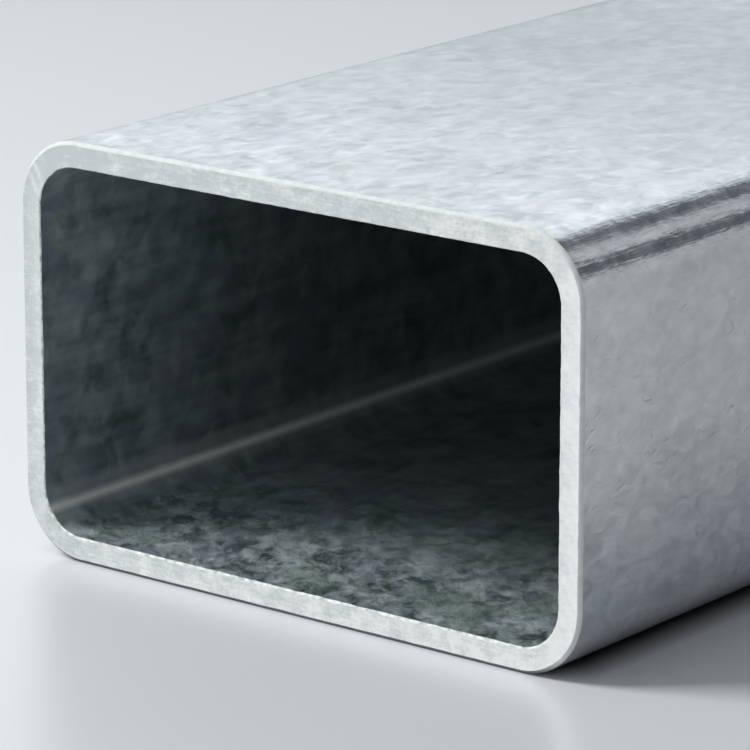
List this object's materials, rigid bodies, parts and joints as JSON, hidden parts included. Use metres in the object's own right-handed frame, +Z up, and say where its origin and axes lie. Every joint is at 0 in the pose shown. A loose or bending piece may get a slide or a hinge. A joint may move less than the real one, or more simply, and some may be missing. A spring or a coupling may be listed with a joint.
{
  "type": "rectangular steel tube",
  "caption": "Galvanised rectangular steel hollow section with rounded bends, open through its length and sawn square at both ends, for framing.",
  "frame": {"origin": "on the floor, under the middle of the tube", "axes": "+Y along the tube, +X across its wide side, +Z up through its narrow side"},
  "size_m": [0.08, 0.5, 0.05],
  "materials": {
    "galvanised_steel": "satin zinc coating, rolled grain and light handling scratches, bright sawn ends"
  },
  "bodies": {
    "root": {"tube": "galvanised_steel"}
  },
  "joints": []
}
